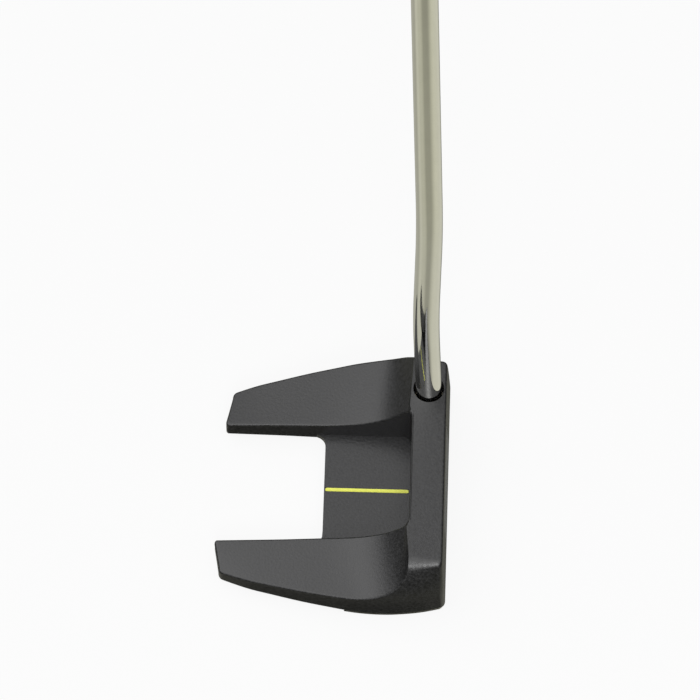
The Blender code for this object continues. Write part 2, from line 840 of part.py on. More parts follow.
sections = smooth_curve(GRIP_SECTIONS, 2)
grip_rings = [grip_ring(*s) for s in sections]
grip_rings += [bore_ring(s[0], GRIP_BORE_R) for s in reversed(sections)]
grip = ring_solid("grip", grip_rings, RUBBER)
smooth_by_angle(grip, 50.0)
tape_rings = [bore_ring(d, TAPE_R[1]) for d in (2.0, GRIP_LENGTH - 6.0)]
tape_rings += [bore_ring(d, TAPE_R[0]) for d in (GRIP_LENGTH - 6.0, 2.0)]
tape = ring_solid("grip_tape", tape_rings, TAPE)
smooth_by_angle(tape)

# End cap of the grip, with its vent hole
cap_width, cap_front, cap_back = GRIP_SECTIONS[0][1:]
cap = loft(
    "grip_cap",
    [
        grip_ring(-CAP_GAP, cap_width, cap_front, cap_back),
        grip_ring(-CAP_GAP - CAP_THICK + 1.2, cap_width, cap_front, cap_back),
        grip_ring(-CAP_GAP - CAP_THICK + 0.4, cap_width - 0.35, cap_front - 0.35, cap_back - 0.35),
        grip_ring(-CAP_GAP - CAP_THICK, cap_width - 1.2, cap_front - 1.2, cap_back - 1.2),
    ],
    RUBBER,
)
smooth_by_angle(cap)
vent = turned("grip_cap_vent", SHAFT_BUTT, UP, ((-3.0, VENT_R), (CAP_THICK + 4.0, VENT_R)), count=20)
boolean(cap, vent)
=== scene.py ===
import math

import bmesh
import bpy
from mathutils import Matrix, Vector


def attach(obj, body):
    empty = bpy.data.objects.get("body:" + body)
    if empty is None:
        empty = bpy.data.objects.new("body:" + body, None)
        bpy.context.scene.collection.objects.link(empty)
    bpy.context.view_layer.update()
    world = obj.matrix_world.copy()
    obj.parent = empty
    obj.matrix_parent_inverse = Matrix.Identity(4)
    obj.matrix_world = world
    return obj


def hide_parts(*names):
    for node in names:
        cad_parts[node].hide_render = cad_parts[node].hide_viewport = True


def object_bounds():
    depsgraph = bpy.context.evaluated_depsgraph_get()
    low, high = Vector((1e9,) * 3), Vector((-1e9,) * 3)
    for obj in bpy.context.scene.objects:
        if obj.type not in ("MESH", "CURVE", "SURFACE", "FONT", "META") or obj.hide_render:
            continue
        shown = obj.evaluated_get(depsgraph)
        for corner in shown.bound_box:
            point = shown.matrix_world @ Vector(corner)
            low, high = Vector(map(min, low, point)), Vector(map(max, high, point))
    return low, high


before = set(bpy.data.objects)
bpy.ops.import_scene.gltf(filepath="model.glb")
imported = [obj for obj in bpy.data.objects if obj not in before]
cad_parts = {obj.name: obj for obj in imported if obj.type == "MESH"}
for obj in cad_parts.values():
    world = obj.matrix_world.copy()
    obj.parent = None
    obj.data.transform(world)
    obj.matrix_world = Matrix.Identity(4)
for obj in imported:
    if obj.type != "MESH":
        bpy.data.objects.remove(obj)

cad_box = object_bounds()

# Camera: a long lens on the toe side, looking steeply down at the head. It sees the head
# and the foot of the shaft; the rest of the shaft and the grip rise out of view.
camera_data = bpy.data.cameras.new("camera")
camera_data.lens = 308.0
camera_data.sensor_width = 36.0
camera_data.clip_end = 20.0
camera = bpy.data.objects.new("camera", camera_data)
azimuth, elevation, distance = math.radians(1.7), math.radians(62.0), 2.2
view_back = Vector((
    math.sin(azimuth) * math.cos(elevation),
    -math.cos(azimuth) * math.cos(elevation),
    math.sin(elevation),
))
camera.location = Vector((-0.01747, 0.06026, 0.0)) + view_back * distance
camera.rotation_euler = view_back.to_track_quat("Z", "Y").to_euler()
scene = bpy.context.scene
scene.collection.objects.link(camera)
scene.camera = camera
scene.view_settings.view_transform = "Standard"


# Studio: a soft surround, bright overhead, dim at the horizon and warm grey below, so that
# level faces read lighter than walls. Broad dim and bright patches in it give the chrome
# and the ramps their gradients.
def linear(code):
    """Linear colour of an sRGB hex value."""
    values = [int(code[i:i + 2], 16) / 255 for i in (1, 3, 5)]
    return tuple(v / 12.92 if v <= 0.04045 else ((v + 0.055) / 1.055) ** 2.4 for v in values)


def node(tree, kind, settings=None, inputs=None, links=None):
    """Adds a node with its settings, input values and links from other sockets."""
    new = tree.nodes.new(kind)
    for name, value in (settings or {}).items():
        setattr(new, name, value)
    for name, value in (inputs or {}).items():
        socket = new.inputs[name]
        if isinstance(value, tuple) and len(value) == 3 and len(socket.default_value) == 4:
            value = (*value, 1.0)
        socket.default_value = value
    for name, source in (links or {}).items():
        tree.links.new(source, new.inputs[name])
    return new


def set_stops(ramp, stops):
    """Sets a colour ramp's stops from positions and linear colours."""
    elements = ramp.color_ramp.elements
    while len(elements) < len(stops):
        elements.new(0.5)
    for element, (place, colour) in zip(elements, stops):
        element.position = place
        element.color = (*colour, 1.0)


world = bpy.data.worlds.new("studio")
scene.world = world
world.use_nodes = True
tree = world.node_tree
tree.nodes.clear()
where = node(tree, "ShaderNodeTexCoord")
way = node(tree, "ShaderNodeSeparateXYZ", links={"Vector": where.outputs["Generated"]})
height = node(
    tree, "ShaderNodeMapRange", inputs={"From Min": -1.0, "From Max": 1.0}, links={"Value": way.outputs["Z"]}
)
sky = node(tree, "ShaderNodeValToRGB", links={"Fac": height.outputs["Result"]})
set_stops(sky, (
    (0.0, (0.36, 0.355, 0.31)),
    (0.33, (0.36, 0.355, 0.275)),
    (0.46, (0.07, 0.07, 0.065)),
    (0.70, (0.08, 0.08, 0.08)),
    (0.84, (0.75, 0.75, 0.75)),
    (0.93, (2.7, 2.7, 2.7)),
    (1.0, (2.55, 2.55, 2.55)),
))


def patch(direction, inner, outer, value):
    """Factor that is 1 away from a direction and the given value near it, by cosine limits."""
    near = node(
        tree, "ShaderNodeVectorMath", {"operation": "DOT_PRODUCT"}, {1: Vector(direction).normalized()},
        {0: where.outputs["Generated"]},
    )
    eased = node(
        tree, "ShaderNodeMapRange", {"interpolation_type": "SMOOTHSTEP"},
        {"From Min": outer, "From Max": inner, "To Min": 1.0, "To Max": value},
        {"Value": near.outputs["Value"]},
    )
    return eased.outputs["Result"]


strength = patch((0.0, -0.47, -0.88), 0.97, 0.88, 0.15)
for extra in (
    patch((0.77, -0.24, -0.60), 0.98, 0.60, 1.8),
    patch((-0.61, -0.60, -0.52), 0.99, 0.85, 1.5),
    patch((-0.80, 0.20, -0.55), 0.95, 0.60, 1.2),
    patch((0.1, 0.75, -0.65), 0.95, 0.4, 1.15),
    patch((0.08, 0.47, -0.88), 0.99, 0.93, 0.4),
    patch((-0.80, 0.52, 0.35), 0.98, 0.86, 5.0),
    patch((-0.45, 0.62, 0.64), 0.98, 0.75, 1.4),
    patch((0.40, 0.40, 0.82), 0.98, 0.75, 0.35),
):
    product = node(tree, "ShaderNodeMath", {"operation": "MULTIPLY"}, links={0: strength, 1: extra})
    strength = product.outputs["Value"]
surround = node(tree, "ShaderNodeBackground", links={"Color": sky.outputs["Color"], "Strength": strength})
node(tree, "ShaderNodeOutputWorld", links={"Surface": surround.outputs["Background"]})

# Floor: a pale sheet seen only by the camera, so it casts no light on the chrome.
FLOOR_REACH, FLOOR_GAP = 6, 0.0004
floor_mesh = bpy.data.meshes.new("floor")
floor_corners = [(x * FLOOR_REACH, y * FLOOR_REACH, 0) for x, y in ((-1, -1), (1, -1), (1, 1), (-1, 1))]
floor_mesh.from_pydata(floor_corners, [], [(0, 1, 2, 3)])
floor = bpy.data.objects.new("floor", floor_mesh)
floor.location.z = cad_box[0][2] - FLOOR_GAP
scene.collection.objects.link(floor)
floor_paint = bpy.data.materials.new("matt_white_backdrop")
floor_paint.use_nodes = True
tree = floor_paint.node_tree
tree.nodes.clear()
matt = node(tree, "ShaderNodeBsdfDiffuse", inputs={"Color": (0.05, 0.05, 0.05)})
glow = node(tree, "ShaderNodeEmission", inputs={"Color": (1.0, 1.0, 1.0), "Strength": 0.895})
both = node(tree, "ShaderNodeAddShader", links={0: matt.outputs["BSDF"], 1: glow.outputs["Emission"]})
node(tree, "ShaderNodeOutputMaterial", links={"Surface": both.outputs["Shader"]})
floor_mesh.materials.append(floor_paint)
floor.visible_diffuse = False
floor.visible_glossy = False

# Softbox: a square panel on the toe side, which draws the light rim along every edge that
# turns towards it.
softbox_data = bpy.data.lights.new("softbox", "AREA")
softbox_data.size = 0.5
softbox_data.energy = 10.0
softbox = bpy.data.objects.new("softbox", softbox_data)
softbox.location = (0.02, -1.18, 1.03)
softbox.rotation_euler = softbox.location.to_track_quat("Z", "Y").to_euler()
scene.collection.objects.link(softbox)


# Head block: bar, two fangs and the low panel between them, cut from one billet of
# aluminium by a milling cutter, bead-blasted and then dyed and anodised near black.
MM = 0.001
BLOCK_FLOOR, BAR_TOP = 2.8, 25.5
BAR_REAR, LEADING_EDGE = 6.0, 19.95
LOFT = math.radians(3.5)
EDGE_ROUND, FOOT_ROUND, TIP_ROUND, INNER_TIP_ROUND, FRONT_ROUND = 0.8, 0.5, 1.5, 0.9, 1.7
HEEL_DRAFT = (
    (2.8, 1.0), (8.0, 1.0), (13.0, 0.994), (17.0, 0.982), (20.5, 0.965), (23.5, 0.943), (26.5, 0.917),
)
TOE_DRAFT = (
    (2.8, 1.0), (8.0, 0.995), (12.5, 0.977), (15.0, 0.957), (17.0, 0.935), (20.5, 0.89), (22.4, 0.86),
    (26.5, 0.8),
)
DRAFT_SHARE = ((-70.0, 1.0), (8.0, 1.0), (20.0, 0.75))
HEEL_EXTRA = (
    (-70.0, 0.0), (-46.0, 0.0), (-25.0, 0.4), (-14.0, 0.55), (-4.0, 0.55), (3.5, 0.3), (12.0, 0.3),
    (20.0, 0.9),
)
TOE_EXTRA = (
    (-70.0, 0.0), (-60.0, -0.2), (-46.0, -0.35), (-25.0, -0.5), (-14.0, -0.6), (3.5, -0.55), (11.0, -0.3),
    (20.0, 0.0),
)
HEEL_EDGE = ((-70.0, 0.8), (20.0, 0.8))
TOE_EDGE = ((-70.0, 0.8), (4.4, 0.8), (6.3, 3.1), (20.0, 1.8))
OUTER_SIDE = (
    (-63.0, 35.5), (-57.4, 37.7), (-50.3, 40.1), (-43.0, 41.9), (-32.5, 44.4), (-21.4, 46.6),
    (-14.1, 47.9), (-7.0, 48.5), (0.0, 48.5), (6.0, 47.9), (12.4, 46.7), (19.9, 44.6),
)
HEEL_TIP = ((-61.4, 23.0), (-59.4, 37.0))
TOE_TIP = ((-63.7, 23.0), (-62.0, 36.4))
RAMP_CREST = 6.3
RAMP = (
    (-68.0, 8.6, 7.2, 7.2), (-56.0, 9.5, 8.35, 8.5), (-48.0, 10.1, 9.2, 9.2), (-40.0, 10.7, 10.0, 9.75),
    (-32.0, 11.3, 10.7, 10.3), (-24.0, 11.95, 11.45, 10.75), (-18.0, 12.6, 12.15, 11.15),
    (-13.0, 13.45, 12.9, 11.55), (-9.0, 14.6, 13.8, 12.1), (-5.5, 16.05, 14.95, 13.0),
    (-2.5, 17.8, 16.4, 14.2), (0.0, 19.75, 18.2, 15.6), (2.2, 21.8, 20.5, 17.2), (4.0, 23.6, 22.7, 19.2),
    (5.2, 24.7, 24.2, 21.5), (6.3, 25.5, 25.5, 25.5),
)
PANEL_TOP, PANEL_REAR = 5.5, -25.1
POCKET_HALF = ((-70.0, 23.0), (-40.0, 22.6), (-25.0, 22.2), (6.0, 22.0))
POCKET_DRAFT, POCKET_CORNER, GAP_CORNER = 0.06, 3.0, 4.2


def smooth_curve(points, steps):
    """Catmull-Rom curve through points of any dimension."""
    pts = [Vector(p) for p in points]
    ends = [pts[0] * 2 - pts[1]] + pts + [pts[-1] * 2 - pts[-2]]
    curve = []
    for i in range(1, len(ends) - 2):
        p0, p1, p2, p3 = ends[i - 1:i + 3]
        for k in range(steps):
            t = k / steps
            curve.append(
                (p1 * 2 + (p2 - p0) * t + (p0 * 2 - p1 * 5 + p2 * 4 - p3) * t**2
                 + (p1 * 3 - p0 - p2 * 3 + p3) * t**3) / 2
            )
    curve.append(pts[-1])
    return curve


def at(table, x):
    """Linear value from a table of pairs."""
    for (x0, v0), (x1, v1) in zip(table, table[1:]):
        if x <= x1:
            break
    return v0 + (v1 - v0) * (x - x0) / (x1 - x0)


outer_curve = smooth_curve(OUTER_SIDE, 6)
inner_ramp = smooth_curve([(row[0], row[1]) for row in RAMP], 6)
heel_ramp = smooth_curve([(row[0], row[2]) for row in RAMP], 6)
toe_ramp = smooth_curve([(row[0], row[3]) for row in RAMP], 6)
heel_shape = (heel_ramp, smooth_curve(HEEL_DRAFT, 6), HEEL_EDGE, smooth_curve(HEEL_EXTRA, 6))
toe_shape = (toe_ramp, smooth_curve(TOE_DRAFT, 6), TOE_EDGE, smooth_curve(TOE_EXTRA, 6))


def inset(radius, distance):
    """How far an edge of that radius has drawn in, at a distance from the end face."""
    if distance >= radius:
        return 0.0
    return radius - math.sqrt(radius**2 - (radius - distance) ** 2)


def arc(radius, degrees):
    """Rise and set-back of points along a rounded edge."""
    return [(radius * math.sin(math.radians(d)), radius * (1 - math.cos(math.radians(d)))) for d in degrees]


INSIDE_FRAME = 0.002
ROUND_STEPS = 6
CROWN_STEPS = 12
SIDE_STEPS = 12
turns = [90.0 * (i + 1) / ROUND_STEPS for i in range(ROUND_STEPS)]


def section(shape, x_in, x_out, pull_in=0.0, pull_out=0.0, pull_z=0.0, corner=False):
    """Points from the foot of the pocket wall, over the top, down the side and back below."""
    outer_ramp, draft_curve, edge_radii, extra = shape
    wall = at(POCKET_HALF, min(x_in, BAR_REAR)) + pull_in
    edge = at(edge_radii, x_out)
    top_in = BAR_TOP if corner else min(at(inner_ramp, min(x_in, RAMP_CREST)), BAR_TOP)
    top_out = BAR_TOP if corner else min(at(outer_ramp, min(x_out, RAMP_CREST)), BAR_TOP)
    top_in -= pull_z
    top_out -= pull_z
    low = BLOCK_FLOOR + pull_z
    reach = at(outer_curve, x_out) + at(extra, x_out) - INSIDE_FRAME

    def pocket_y(z):
        return wall + (z - PANEL_TOP) * POCKET_DRAFT

    def side_y(z):
        return reach * (1.0 - (1.0 - at(draft_curve, z)) * at(DRAFT_SHARE, x_out)) - pull_out

    ring = []
    shoulder = top_in - EDGE_ROUND
    for share in (0.0, 0.5, 1.0):
        z = PANEL_TOP + (shoulder - PANEL_TOP) * share
        ring.append((x_in, pocket_y(z), z))
    for rise, back in arc(EDGE_ROUND, turns):
        diagonal = math.sqrt(0.5) if corner else 1.0
        step = back * diagonal if corner else 0.0
        ring.append((x_in + step, pocket_y(top_in) + back * diagonal, shoulder + rise))
    start = pocket_y(top_in) + EDGE_ROUND
    stop = side_y(top_out) - edge
    for i in range(1, CROWN_STEPS):
        share = i / CROWN_STEPS
        x = x_in + (x_out - x_in) * share
        ring.append((x, start + (stop - start) * share, top_in + (top_out - top_in) * share))
    for rise, back in arc(edge, [0.0] + turns)[::-1]:
        z = top_out - edge + rise
        ring.append((x_out, side_y(z) - back, z))
    foot = low + FOOT_ROUND
    for i in range(1, SIDE_STEPS + 1):
        z = top_out - edge + (foot - top_out + edge) * i / SIDE_STEPS
        ring.append((x_out, side_y(z), z))
    for rise, back in arc(FOOT_ROUND, (30, 60, 90)):
        ring.append((x_out, side_y(low) - back, foot - rise))
    for rise, back in arc(FOOT_ROUND, (90, 60, 30, 0)):
        ring.append((x_in, wall + back, foot - rise))
    return ring


TOP_START = 2 + ROUND_STEPS
FLAT_END = TOP_START + CROWN_STEPS + ROUND_STEPS + SIDE_STEPS + 3 + 1
RING = FLAT_END + 4
ACROSS = (0.0, 0.2, 0.4, 0.6, 0.75, 0.856, 0.88, 0.9, 0.92, 0.94, 0.96, 0.975, 0.985, 0.993, 1.0)
TIP_STEPS = (0.0, 0.02, 0.07, 0.16, 0.3, 0.5, 0.8, 1.1, 1.5, 2.2)
FANG_ROWS = [(-58.5, 0.85), (-56.0, 0.6), (-54.0, 0.42), (-52.0, 0.25), (-50.0, 0.1)]
FANG_ROWS += [(x, 0.0) for x in (-48.0, -45.0, -42.0, -38.5, -35.0, -31.5, -28.3)]
PANEL_ROWS = [-26.0, -24.0, -22.0, -20.0, -18.0, -16.5, -15.0, -13.5, -12.2, -11.0, -10.0, -9.0, -8.0, -7.0]
PANEL_ROWS += [-6.0, -5.0, -4.0, -3.2, -2.4, -1.5, -0.7, 0.0, 0.8, 1.5, 2.3, 3.05]
BAR_ROWS = (6.6, 7.2, 8.0, 9.5, 11.0, 12.5, 14.0, 15.5, 17.0)


def side_rows(shape, tip):
    """Sections of one side, fang tip to face."""
    (tip_in, _), (tip_out, _) = tip
    slant = tip_out - tip_in
    rows = []
    for d in TIP_STEPS:
        pulls = (inset(INNER_TIP_ROUND, d), inset(TIP_ROUND, d), inset(EDGE_ROUND, d))
        rows.append(section(shape, tip_in + d, tip_out + d, *pulls))
    rows += [section(shape, x, x + slant * share) for x, share in FANG_ROWS]
    rows += [section(shape, x, x) for x in PANEL_ROWS]
    for degrees in (7.5, 15.0, 22.5, 30.0, 37.5, 45.0):
        turn = math.radians(degrees)
        narrow = POCKET_CORNER * (1 - math.cos(turn))
        x = BAR_REAR - POCKET_CORNER + POCKET_CORNER * math.sin(turn)
        x_out = 3.05 + (RAMP_CREST - 3.05) * degrees / 45.0
        rows.append(section(shape, x, x_out, -narrow, corner=degrees == 45.0))
    rows += [section(shape, x, x) for x in BAR_ROWS]
    for degrees in range(0, 91, 9):
        turn = math.radians(degrees)
        x = LEADING_EDGE - FRONT_ROUND * (1 - math.sin(turn))
        pulls = (FRONT_ROUND * (1 - math.cos(turn)), inset(EDGE_ROUND, LEADING_EDGE - x))
        rows.append(section(shape, x, x, 0.0, *pulls))
    return rows


def new_piece(name, points, faces, material=None, smooth=True):
    """Mesh object from millimetre points, placed at the origin."""
    mesh = bpy.data.meshes.new(name)
    mesh.from_pydata([Vector(p) * MM for p in points], [], faces)
    bm = bmesh.new()
    bm.from_mesh(mesh)
    bmesh.ops.recalc_face_normals(bm, faces=bm.faces)
    for face in bm.faces:
        face.smooth = smooth
    bm.to_mesh(mesh)
    bm.free()
    piece = bpy.data.objects.new(name, mesh)
    scene.collection.objects.link(piece)
    if material:
        mesh.materials.append(material)
    return piece


def bake(piece):
    """Turns the piece's modifiers into its mesh."""
    shaped = piece.evaluated_get(bpy.context.evaluated_depsgraph_get())
    piece.data = bpy.data.meshes.new_from_object(shaped)
    piece.modifiers.clear()


def cut(piece, cutters):
    """Takes closed cutter solids out of the piece."""
    for cutter in cutters:
        mod = piece.modifiers.new("cut", "BOOLEAN")
        mod.solver = "EXACT"
        mod.object = cutter
    bake(piece)
    for cutter in cutters:
        bpy.data.objects.remove(cutter)


def even_shading(piece, degrees=30.0):
    """Hard edges above an angle; elsewhere flats stay flat and rounds stay round."""
    piece.data.shade_smooth()
    piece.data.set_sharp_from_angle(angle=math.radians(degrees))
    mod = piece.modifiers.new("flats", "WEIGHTED_NORMAL")
    mod.keep_sharp = True
    bake(piece)


def circle(centre, normal, radius, count, side=Vector((1.0, 0.0, 0.0))):
    """Points of a circle around a normal."""
    n = Vector(normal).normalized()
    u = (side - n * side.dot(n)).normalized()
    v = n.cross(u)
    turns = [math.tau * i / count for i in range(count)]
    return [Vector(centre) + (u * math.cos(t) + v * math.sin(t)) * radius for t in turns]


def loft(name, rings, material=None, joined=False, smooth=True):
    """Closed solid through rings of equal length; joined makes the last ring meet the first."""
    count = len(rings[0])
    points = [p for ring in rings for p in ring]
    faces = [] if joined else [tuple(range(count)), tuple(range(len(points) - count, len(points)))]
    for level in range(len(rings) - (0 if joined else 1)):
        low = level * count
        high = (level + 1) % len(rings) * count
        for i in range(count):
            j = (i + 1) % count
            faces.append((low + i, low + j, high + j, high + i))
    return new_piece(name, points, faces, material, smooth)


def turned(name, centre, profile, count, material=None, axis=(0, 0, 1)):
    """Solid of revolution from (distance along the axis, radius) pairs."""
    n = Vector(axis).normalized()
    return loft(name, [circle(Vector(centre) + n * d, n, r, count) for d, r in profile], material)


def head_block():
    """One closed mesh from the two sides and the panel and bar between them."""
    points, faces, known = [], [], {}
    sides = {1: side_rows(heel_shape, HEEL_TIP), -1: side_rows(toe_shape, TOE_TIP)}
    rear = len(TIP_STEPS) + len(FANG_ROWS) - 1
    wall = rear + len(PANEL_ROWS) + 6
    last = len(sides[1]) - 1

    def put(key, point):
        if key not in known:
            known[key] = len(points)
            x, y, z = point
            share = min(max((x - BAR_REAR) / 10.0, 0.0), 1.0)
            points.append((x - z * math.tan(LOFT) * share, y, z))
        return known[key]

    def rim(side, row, column):
        x, y, z = sides[side][row][column % RING]
        return put((side, row, column % RING), (x, y * side, z))

    def fillet(y, edge, radius):
        beyond = min(max(abs(y) - (edge - radius), 0.0), radius)
        return radius - math.sqrt(radius**2 - beyond**2)

    def middle(side, row, column, step):
        """Vertex between the centre line and a section point, in step with the row."""
        share = ACROSS[step]
        if share == 1.0:
            return rim(side, row, column)
        rows = sides[side]
        x, y, z = rows[row][column % RING]
        if row <= wall:
            rear_x, rear_y, _ = rows[rear][0]
            wall_x, wall_y, _ = rows[wall][0]
            x_rear = PANEL_REAR - fillet(rear_y * share, rear_y, GAP_CORNER)
            x_wall = BAR_REAR - fillet(wall_y * share, wall_y + 0.88, POCKET_CORNER)
            x = x_rear + (x_wall - x_rear) * (rows[row][0][0] - rear_x) / (wall_x - rear_x)
            if row == wall and 2 < column <= TOP_START:
                x += arc(EDGE_ROUND, turns)[column - 3][1]
            if row == rear and FLAT_END <= column < RING - 1:
                x += arc(FOOT_ROUND, (90, 60, 30))[column - FLAT_END][1]
        return put(("middle", side if share else 0, row, column, step), (x, y * share * side, z))

    def grid(pick, rows, columns):
        for r in rows:
            for c in columns:
                faces.append((pick(r, c), pick(r, c + 1), pick(r + 1, c + 1), pick(r + 1, c)))

    for side in (1, -1):
        faces.append(tuple(rim(side, 0, c) for c in range(RING)))
        grid(lambda r, c: rim(side, r, c), range(rear), range(RING))
        grid(lambda r, c: rim(side, r, c), range(rear, wall), range(FLAT_END))
        grid(lambda r, c: rim(side, r, c), range(wall, last), range(TOP_START, FLAT_END))
        steps = range(len(ACROSS) - 1)
        grid(lambda r, c: middle(side, r, 0, c), range(rear, wall), steps)
        grid(lambda r, c: middle(side, r, TOP_START, c), range(wall, last), steps)
        grid(lambda r, c: middle(side, r, FLAT_END, c), range(rear, last), steps)
        grid(lambda r, c: middle(side, wall, r, c), range(TOP_START), steps)
        grid(lambda r, c: middle(side, rear, r, c), range(FLAT_END, RING), steps)
    inward = range(len(ACROSS) - 2, -1, -1)
    outward = range(1, len(ACROSS) - 1)
    face = [rim(1, last, c) for c in range(TOP_START, FLAT_END + 1)]
    face += [middle(1, last, FLAT_END, i) for i in inward]
    face += [middle(-1, last, FLAT_END, i) for i in outward]
    face += [rim(-1, last, c) for c in range(FLAT_END, TOP_START - 1, -1)]
    face += [middle(-1, last, TOP_START, i) for i in inward]
    face += [middle(1, last, TOP_START, i) for i in outward]
    faces.append(tuple(face))
    return new_piece("milled_head", points, faces)


def principled(name, **inputs):
    """Material with one Principled shader; returns the material, its tree and the shader."""
    made = bpy.data.materials.new(name)
    made.use_nodes = True
    shader = made.node_tree.nodes["Principled BSDF"]
    for key, value in inputs.items():
        socket = shader.inputs[key.replace("_", " ")]
        socket.default_value = (*value, 1.0) if isinstance(value, tuple) else value
    return made, made.node_tree, shader


def speckle(tree, shader, grain_mm, light, dark, rough, bump, stretch=(1.0, 1.0, 1.0)):
    """Fine grain in real millimetres: varies colour and roughness a little and roughens the normal."""
    where = node(tree, "ShaderNodeTexCoord")
    scaled = node(
        tree, "ShaderNodeMapping", inputs={"Scale": stretch}, links={"Vector": where.outputs["Object"]}
    )
    noise = node(
        tree, "ShaderNodeTexNoise", inputs={"Scale": 1000.0 / grain_mm, "Detail": 3.0, "Roughness": 0.6},
        links={"Vector": scaled.outputs["Vector"]},
    )
    tone = node(tree, "ShaderNodeValToRGB", links={"Fac": noise.outputs["Fac"]})
    set_stops(tone, ((0.3, dark), (0.7, light)))
    tree.links.new(tone.outputs["Color"], shader.inputs["Base Color"])
    gloss = node(
        tree, "ShaderNodeMapRange",
        inputs={"From Min": 0.3, "From Max": 0.7, "To Min": rough[0], "To Max": rough[1]},
        links={"Value": noise.outputs["Fac"]},
    )
    tree.links.new(gloss.outputs["Result"], shader.inputs["Roughness"])
    relief = node(
        tree, "ShaderNodeBump", inputs={"Strength": 1.0, "Distance": bump * MM},
        links={"Height": noise.outputs["Fac"]},
    )
    tree.links.new(relief.outputs["Normal"], shader.inputs["Normal"])


# Bead-blasted and black-anodised aluminium: near black body with a broad grey sheen and a
# fine sandy grain. The grain is drawn at 0.9 mm, coarser than the 0.1 mm pits of the real finish.
black_anodised, tree, shader = principled("black_anodised_beadblast_aluminium", Specular_IOR_Level=0.5)
speckle(tree, shader, 0.9, linear("#242425"), linear("#0b0b0c"), (0.30, 0.45), 0.07)

head = head_block()
head.data.materials.append(black_anodised)

# Openings of the head block: sight-line groove, insert pocket, weight bores, screw holes
# and the shaft bore, whose mouth is wider than the bore below it.
LINE_WIDTH, LINE_DEPTH, LINE_CLEARANCE = 1.35, 0.6, 0.05
INSERT_HALF, INSERT_LOW, INSERT_HIGH, INSERT_THICK, INSERT_CORNER = 20.5, 4.8, 21.4, 2.8, 3.0
INSERT_CLEARANCE, TAPE_THICK = 0.1, 0.2
FACE_NORMAL = Vector((math.cos(LOFT), 0.0, math.sin(LOFT)))
FACE_UP = Vector((-math.sin(LOFT), 0.0, math.cos(LOFT)))
SHAFT_MOUTH = Vector((11.85, 31.9, 25.5))
SHAFT_BEND_LOW = Vector((10.19, 38.48, 64.9))
BORE_DEPTH, BORE_R, MOUTH_R = 15.2, 5.15, 5.6
LOWER = (SHAFT_BEND_LOW - SHAFT_MOUTH).normalized()
WEIGHT_X, WEIGHT_Y, FLANGE_R, SHANK_R = -5.0, 33.0, 8.0, 5.5
WEIGHT_SEAT, WEIGHT_BORE_TOP = 5.0, 11.4
SCREW_X, SCREW_PLACES = 11.0, (-40.0, -14.0, 14.0, 40.0)
SCREW_HEAD_R, SCREW_SHANK_R, SCREW_LENGTH = 2.8, 1.45, 8.0
HEAD_TOP = 0.35 + SCREW_HEAD_R - SCREW_SHANK_R


def on_face(depth, y, height):
    """Point at a depth behind the lofted face, at a height up the face."""
    return Vector((LEADING_EDGE, y, 0.0)) + FACE_UP * height - FACE_NORMAL * depth


def face_outline(depth, grow, steps=10):
    """Rounded-rectangle outline of the insert at a depth behind the face."""
    ring = []
    radius = INSERT_CORNER + grow
    half, low, high = INSERT_HALF + grow, INSERT_LOW - grow, INSERT_HIGH + grow
    corners = ((-1, low, 180), (1, low, 270), (1, high, 0), (-1, high, 90))
    for sign, level, begin in corners:
        for i in range(steps + 1):
            turn = math.radians(begin + 90.0 * i / steps)
            y = sign * (half - radius) + radius * math.cos(turn)
            inward = level + (radius if level == low else -radius)
            ring.append(on_face(depth, y, inward + radius * math.sin(turn)))
    return ring


def weight_room(sign):
    seat = (WEIGHT_X, WEIGHT_Y * sign, 0.0)
    wide, narrow = FLANGE_R + 0.3, SHANK_R + 0.3
    profile = ((-2.0, wide), (WEIGHT_SEAT, wide), (WEIGHT_SEAT, narrow), (WEIGHT_BORE_TOP, narrow))
    return turned("weight_room", seat, profile, 96)


def screw_room(y):
    profile = (
        (-1.0, SCREW_HEAD_R + 1.1), (0.1, SCREW_HEAD_R + 0.25), (HEAD_TOP + 0.2, SCREW_SHANK_R + 0.2),
        (SCREW_LENGTH + 1.0, SCREW_SHANK_R + 0.2),
    )
    return turned("screw_room", (SCREW_X, y, 0.0), profile, 48)


groove_half = LINE_WIDTH / 2 + LINE_CLEARANCE
groove_low, groove_high = PANEL_TOP - LINE_DEPTH, PANEL_TOP + 1.0
groove = [
    [(x, -groove_half, groove_low), (x, groove_half, groove_low),
     (x, groove_half, groove_high), (x, -groove_half, groove_high)]
    for x in (PANEL_REAR - 4.0, BAR_REAR - 0.4)
]
pocket_depth = INSERT_THICK + TAPE_THICK + INSERT_CLEARANCE * 2
bore_profile = ((-BORE_DEPTH, BORE_R), (-4.3, BORE_R), (-3.9, MOUTH_R), (6.0, MOUTH_R))
cutters = [
    loft("line_groove", groove),
    loft("insert_pocket", [face_outline(d, INSERT_CLEARANCE) for d in (-3.0, pocket_depth)]),
    turned("shaft_bore", SHAFT_MOUTH, bore_profile, 96, axis=LOWER),
]
cutters += [weight_room(sign) for sign in (1, -1)]
cutters += [screw_room(y) for y in SCREW_PLACES]
cut(head, cutters)
even_shading(head)
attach(head, "club")
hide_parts("head_body")

